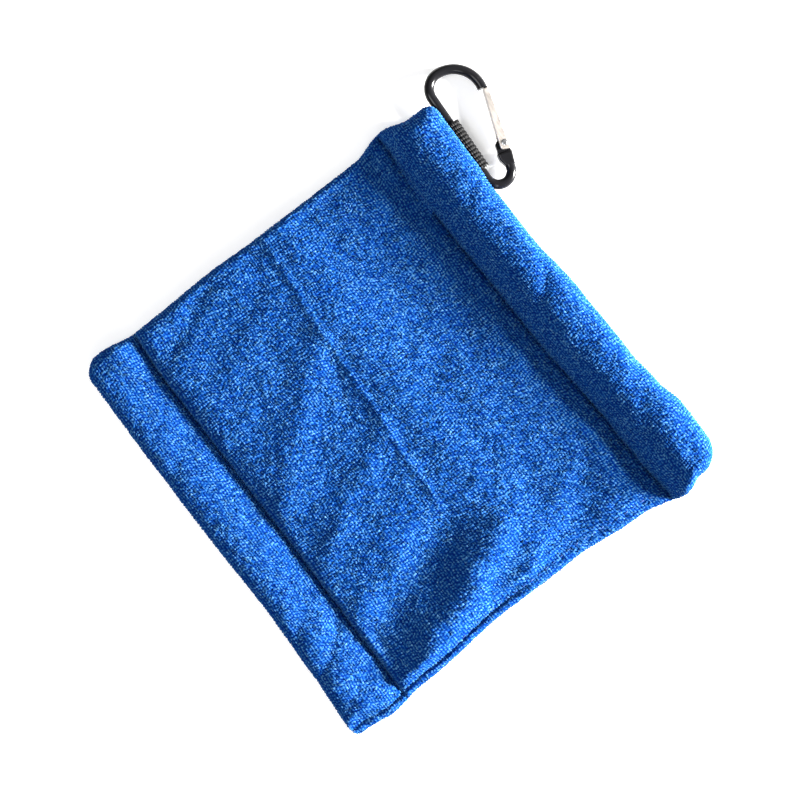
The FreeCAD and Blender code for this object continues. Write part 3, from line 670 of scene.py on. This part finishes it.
def strap_path():
    """The strap's middle line round the spine, tail to tail, as (off, up) pairs."""
    radius = SPINE[2] - STRAP_LOW[2] - STRAP_THICK / 2
    low = -radius
    high = low + STRAP_THICK + 0.02
    meet = np.array([-6.2, high])
    reach = math.hypot(*meet)
    touch = math.atan2(meet[1], meet[0]) % (2 * math.pi) - math.acos(radius / reach)
    turn = np.linspace(-math.pi / 2, touch, 40)
    arc = np.stack([np.cos(turn), np.sin(turn)], axis=1) * radius
    tail = np.linspace(-STRAP_TAIL, 0, 30, endpoint=False)
    bottom = np.stack([tail, np.full(30, low)], axis=1)
    slope = arc[-1] + (meet - arc[-1]) * np.linspace(0, 1, 12)[1:, None]
    top = np.stack([tail[::-1][10:], np.full(20, high)], axis=1)
    top = top[top[:, 0] < meet[0] - 0.5]
    line = np.concatenate([bottom, arc, slope, top])
    for _ in range(2):
        line[71:-1] = (line[70:-2] + 2 * line[71:-1] + line[72:]) / 4
    return line


def build_strap():
    """Ribbed elastic: cords side by side along the spine, each running round it."""
    line = strap_path()
    ahead = np.gradient(line, axis=0)
    ahead /= np.linalg.norm(ahead, axis=1, keepdims=True)
    outward = np.stack([ahead[:, 1], -ahead[:, 0]], axis=1)
    across = np.linspace(-0.5, 0.5, STRAP_RIBS * 10 + 1)
    rib = np.abs(np.cos((across * STRAP_RIBS + 0.5 * (STRAP_RIBS % 2 - 1)) * math.pi))
    edge = np.clip((0.5 - np.abs(across)) * STRAP_WIDTH / 0.6, 0, 1)
    beat = 0.05 * np.sin(np.arange(len(line)) * 0.9)[:, None] * np.sin(across * 40)[None]
    outer = STRAP_THICK / 2 + RIB_DEPTH * (np.sqrt(rib)[None] - 0.75) * edge + beat
    inner = np.broadcast_to(-STRAP_THICK / 2 + 0.06 * (1 - rib), outer.shape)
    along = np.broadcast_to(across * STRAP_WIDTH + STRAP_SHIFT, outer.shape)
    faces = []
    for offset in (outer, inner):
        off = line[:, :1] + outward[:, :1] * offset
        up = line[:, 1:] + outward[:, 1:] * offset
        faces.append(on_spine(along, off, up))
    r, c = outer.shape
    index = np.arange(2 * r * c).reshape(2, r, c)
    quads = [grid_faces(r, c), grid_faces(r, c, flip=True, start=r * c)]
    rim = np.concatenate([index[0, 0, :], index[0, 1:, -1], index[0, -1, -2::-1], index[0, -2:0:-1, 0]])
    other = rim + r * c
    quads.append(np.stack([rim, other, np.roll(other, -1), np.roll(rim, -1)], axis=1))
    strap = mesh_object("ribbed_elastic", np.concatenate([f.reshape(-1, 3) for f in faces]),
                        np.concatenate(quads)[:, ::-1])
    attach(strap, "towel")
    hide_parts("elastic_loop")
    paint(strap, materials["elastic"])
    return strap


def build_fray():
    """A few pale ends of the elastic's rubber yarns, sprung from its cut edge, clear of the rod."""
    chance = np.random.default_rng(12)
    parts = []
    t = np.linspace(0, 1, 9)
    for _ in range(9):
        lean, curl, reach = chance.uniform(-0.5, 1.1), chance.uniform(-1.5, 1.5), chance.uniform(1.0, 2.1)
        along = STRAP_WIDTH / 2 + STRAP_SHIFT - 0.25 + reach * t * 0.75
        off = 1.6 + chance.uniform(-0.5, 0.8) + reach * (lean * t + 0.3 * curl * t * t)
        up = 1.2 + chance.uniform(-0.8, 0.8) + 0.5 * reach * t * (1 - t)
        spread = np.maximum(FRAY_CLEAR / np.hypot(off, up), 1.0)
        parts.append(tube(on_spine(along, off * spread, up * spread), 0.09 * (1.02 - t), sides=6))
    fray = mesh_object("elastic_fray", *gathered(parts))
    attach(fray, "towel")
    paint(fray, materials["yarn"])


def build_tail_thread():
    """The two rows of stitches across the strap's tails, underneath."""
    half = STRAP_WIDTH / 2 - 1
    parts = []
    for off in TAIL_THREADS:
        along = np.linspace(-half, half, 60) + STRAP_SHIFT
        low = STRAP_LOW[2] - SPINE[2] - 0.02
        line = on_spine(along, np.full(60, off), np.full(60, low))
        parts += stitched(line, -0.05)
    thread = mesh_object("loop_thread", *gathered(parts))
    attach(thread, "towel")
    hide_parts("loop_stitches")
    paint(thread, materials["thread"])


def build_spring():
    """The gate spring as a piece of its own, copied from the frame's mesh."""
    source = frame["nodes"]["gate_spring"]
    mesh = source.data.copy()
    mesh.transform(source.matrix_world)
    spring = link(bpy.data.objects.new("gate_coil", mesh))
    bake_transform(spring)
    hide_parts("gate_spring")
    paint(spring, materials["steel"])


# Materials ----------------------------------------------------------------------------------------


class Nodes:
    """A material's node tree, with short ways to add and join nodes."""

    def __init__(self, name):
        self.material = bpy.data.materials.new(name)
        self.material.use_nodes = True
        self.tree = self.material.node_tree
        self.shader = self.tree.nodes["Principled BSDF"]

    def set(self, **sockets):
        for name, value in sockets.items():
            self.shader.inputs[name.replace("_", " ")].default_value = value

    def add(self, kind, **settings):
        node = self.tree.nodes.new(kind)
        for name, value in settings.items():
            if name in node.inputs:
                node.inputs[name].default_value = value
            else:
                setattr(node, name, value)
        return node

    def join(self, source, target):
        self.tree.links.new(source, target)

    def place(self):
        return self.add("ShaderNodeTexCoord").outputs["Object"]

    def noise(self, scale, detail=2.0, where=None):
        node = self.add("ShaderNodeTexNoise", Scale=scale, Detail=detail)
        self.join(where or self.place(), node.inputs["Vector"])
        return node.outputs["Fac"]

    def ramp(self, factor, stops):
        node = self.add("ShaderNodeValToRGB")
        while len(node.color_ramp.elements) < len(stops):
            node.color_ramp.elements.new(0.5)
        for element, (place, colour) in zip(node.color_ramp.elements, stops):
            element.position = place
            element.color = (*colour, 1)
        self.join(factor, node.inputs["Fac"])
        return node.outputs["Color"]

    def math(self, operation, first, second):
        node = self.add("ShaderNodeMath", operation=operation)
        for socket, value in zip(node.inputs, (first, second)):
            if isinstance(value, (int, float)):
                socket.default_value = value
            else:
                self.join(value, socket)
        return node.outputs["Value"]

    def mix(self, factor, first, second, blend="MIX"):
        node = self.add("ShaderNodeMix", data_type="RGBA", blend_type=blend)
        for socket, value in zip((node.inputs[0], node.inputs[6], node.inputs[7]), (factor, first, second)):
            if isinstance(value, (int, float)):
                socket.default_value = value
            elif isinstance(value, tuple):
                socket.default_value = (*value, 1)
            else:
                self.join(value, socket)
        return node.outputs[2]

    def bump(self, height, distance, strength=1.0, before=None):
        node = self.add("ShaderNodeBump", Strength=strength, Distance=distance)
        self.join(height, node.inputs["Height"])
        if before:
            self.join(before, node.inputs["Normal"])
        return node.outputs["Normal"]

    def feed(self, **sockets):
        for name, output in sockets.items():
            self.join(output, self.shader.inputs[name.replace("_", " ")])


def terry_material():
    """Looped microfibre: royal blue on the loops, navy painted shade down the gaps between loops, and
    painted highlights on a few pale tips.
    """
    m = Nodes("terry")
    pile_height = m.add("ShaderNodeAttribute", attribute_name="pile").outputs["Fac"]
    loop_shade = m.add("ShaderNodeAttribute", attribute_name="loop").outputs["Fac"]
    fuzz = m.noise(2600.0, 3.0)
    cloudy = m.noise(60.0, 2.0)
    depth = m.math("ADD", pile_height, m.math("MULTIPLY", m.math("SUBTRACT", fuzz, 0.5), 0.45))
    # Colour by pile height: painted shade darkens the low gaps between loops, and painted highlights
    # lighten the tips.
    body = m.ramp(depth, [(0.0, (0.0001, 0.007, 0.100)), (0.20, (0.0003, 0.017, 0.145)),
                          (0.42, (0.004, 0.053, 0.212)), (0.62, (0.030, 0.117, 0.280)),
                          (0.84, (0.084, 0.205, 0.370)), (0.97, (0.17, 0.32, 0.47))])
    dark_loops = m.ramp(loop_shade, [(0.50, (0, 0, 0)), (1.0, (0.36, 0.36, 0.36))])
    dull = m.mix(dark_loops, body, (0.0008, 0.036, 0.190))
    patchy = m.mix(m.math("MULTIPLY", cloudy, 0.12), dull, (0.001, 0.036, 0.19))
    m.feed(Base_Color=patchy, Normal=m.bump(fuzz, 0.0002, 0.5))
    m.set(Roughness=0.8, Specular_IOR_Level=0.02)
    return m.material


def thread_material():
    m = Nodes("thread")
    twist = m.add("ShaderNodeTexWave", Scale=900.0, Distortion=2.0)
    m.join(m.place(), twist.inputs["Vector"])
    tone = m.ramp(twist.outputs["Fac"], [(0.0, (0.003, 0.020, 0.11)), (1.0, (0.012, 0.08, 0.34))])
    m.feed(Base_Color=tone, Normal=m.bump(twist.outputs["Fac"], 0.0001))
    m.set(Roughness=0.6)
    return m.material


def elastic_material():
    """Black braided elastic: fine cross yarns over the modelled ribs."""
    m = Nodes("elastic")
    yarns = m.add("ShaderNodeTexWave", Scale=420.0, Distortion=3.0, bands_direction="Y")
    m.join(m.place(), yarns.inputs["Vector"])
    lint = m.noise(1500.0, 3.0)
    tone = m.mix(m.math("MULTIPLY", lint, 0.5), (0.0012, 0.0012, 0.0014), (0.009, 0.009, 0.010))
    m.feed(Base_Color=tone, Normal=m.bump(yarns.outputs["Fac"], 0.00012, 0.9))
    m.set(Roughness=0.55, Specular_IOR_Level=0.09)
    return m.material


def yarn_material():
    m = Nodes("yarn")
    m.feed(Base_Color=m.ramp(m.noise(800.0), [(0.3, (0.35, 0.36, 0.36)), (0.7, (0.62, 0.63, 0.62))]))
    m.set(Roughness=0.7)
    return m.material


def anodised_material():
    """Gloss black anodised aluminium, slightly uneven and rubbed pale in small spots."""
    m = Nodes("black_anodised")
    grain = m.noise(900.0, 4.0)
    rub = m.ramp(m.noise(350.0, 5.0), [(0.66, (0.006, 0.006, 0.007)), (0.80, (0.05, 0.05, 0.05))])
    rough = m.ramp(m.noise(220.0, 3.0), [(0.3, (0.13, 0.13, 0.13)), (0.8, (0.26, 0.26, 0.26))])
    m.feed(Base_Color=rub, Roughness=rough, Normal=m.bump(grain, 0.00002, 0.5))
    m.set(Metallic=0.0, Specular_IOR_Level=0.22)
    return m.material


def gate_material():
    """Pressed aluminium with fine scratches along its length."""
    m = Nodes("gate_metal")
    stretch = m.add("ShaderNodeMapping")
    m.join(m.place(), stretch.inputs["Vector"])
    stretch.inputs["Rotation"].default_value = (0, 0, math.radians(19))
    stretch.inputs["Scale"].default_value = (120, 2400, 2400)
    lines = m.noise(1.0, 3.0, stretch.outputs["Vector"])
    tone = m.ramp(lines, [(0.3, (0.54, 0.50, 0.46)), (0.7, (0.72, 0.66, 0.61))])
    rough = m.ramp(m.noise(500.0, 3.0), [(0.3, (0.34, 0.34, 0.34)), (0.8, (0.52, 0.52, 0.52))])
    m.feed(Base_Color=tone, Roughness=rough, Normal=m.bump(lines, 0.00001, 0.6))
    m.set(Metallic=0.85)
    return m.material


def steel_material():
    m = Nodes("steel")
    spots = m.noise(700.0, 3.0)
    tone = m.ramp(spots, [(0.3, (0.45, 0.45, 0.46)), (0.8, (0.72, 0.72, 0.73))])
    rough = m.ramp(spots, [(0.3, (0.22, 0.22, 0.22)), (0.8, (0.38, 0.38, 0.38))])
    m.feed(Base_Color=tone, Roughness=rough)
    m.set(Metallic=1.0)
    return m.material


def paint(obj, material):
    if obj.data.materials:
        for i in range(len(obj.data.materials)):
            obj.data.materials[i] = material
    else:
        obj.data.materials.append(material)


# Studio -------------------------------------------------------------------------------------------


def area_light(name, place, target, size, power, colour=(1, 1, 1)):
    lamp = bpy.data.lights.new(name, "AREA")
    lamp.size = size
    lamp.energy = power
    lamp.color = colour
    obj = link(bpy.data.objects.new(name, lamp))
    obj.location = place
    aim = np.array(target) - np.array(place)
    obj.rotation_mode = "QUATERNION"
    obj.rotation_quaternion = Vector(aim).to_track_quat("-Z", "Y")
    return obj


# Brightness of the plain surroundings by height: horizon, halfway, overhead.
SKY = [(0.0, 0.66), (0.12, 0.29), (1.0, 0.26)]
FLOOR_REACH = 3000.0
VIEW_WIDTH = 0.2462
VIEW_CENTRE = -0.0028, 0.0039
VIEW_TURN = 52.13
LENS, SENSOR = 85, 36


def light_world(scene):
    """Plain surroundings whose brightness goes by direction alone."""
    world = bpy.data.worlds.new("studio")
    world.use_nodes = True
    tree = world.node_tree
    where = tree.nodes.new("ShaderNodeTexCoord")
    split = tree.nodes.new("ShaderNodeSeparateXYZ")
    sky = tree.nodes.new("ShaderNodeValToRGB")
    sky.color_ramp.elements.new(0.5)
    for element, (height, level) in zip(sky.color_ramp.elements, SKY):
        element.position = height
        element.color = (level, level, level, 1)
    tree.links.new(where.outputs["Generated"], split.inputs["Vector"])
    tree.links.new(split.outputs["Z"], sky.inputs["Fac"])
    tree.links.new(sky.outputs["Color"], tree.nodes["Background"].inputs["Color"])
    scene.world = world


def lay_floor():
    corners = [(-1, -1), (1, -1), (1, 1), (-1, 1)]
    floor = mesh_object("floor", [(x * FLOOR_REACH, y * FLOOR_REACH, 0) for x, y in corners],
                        [(0, 1, 2, 3)])
    pale = Nodes("floor")
    pale.set(Base_Color=(0.80, 0.80, 0.80, 1), Roughness=0.9, Specular_IOR_Level=0.1,
             Emission_Color=(1, 1, 1, 1), Emission_Strength=0.42)
    paint(floor, pale.material)


def place_camera(scene):
    """Straight above the towel, turned so that it lies cornerwise in the frame."""
    camera = bpy.data.cameras.new("camera")
    camera.lens = LENS
    camera.sensor_width = SENSOR
    eye = link(bpy.data.objects.new("camera", camera))
    eye.location = (*VIEW_CENTRE, VIEW_WIDTH * LENS / SENSOR + 0.005)
    eye.rotation_euler = (0, 0, math.radians(VIEW_TURN))
    scene.camera = eye


def studio():
    scene = bpy.context.scene
    light_world(scene)
    area_light("key", (0.50, 0.81, 0.225), (0, 0, 0), 0.24, 104.0, (1.0, 0.985, 0.96))
    area_light("fill", (-0.17, -0.47, 0.87), (0, 0, 0), 0.5, 5.0)
    area_light("back_fill", (0.55, -0.35, 0.75), (0, 0, 0), 0.3, 1.6)
    lay_floor()
    place_camera(scene)
    scene.view_settings.view_transform = "Standard"


# The towel ----------------------------------------------------------------------------------------

materials = {
    "terry": terry_material(), "thread": thread_material(), "elastic": elastic_material(),
    "yarn": yarn_material(), "anodised": anodised_material(), "gate": gate_material(),
    "steel": steel_material(),
}
cloth = build_cloth()
for piece in cloth.values():
    paint(piece, materials["terry"])
build_strap()
build_fray()
build_tail_thread()
build_spring()
for node, material in (("carabiner_body", "anodised"), ("gate_channel", "gate"), ("gate_rivet", "steel"),
                       ("gate_plunger", "steel")):
    paint(frame["nodes"][node], materials[material])

studio()
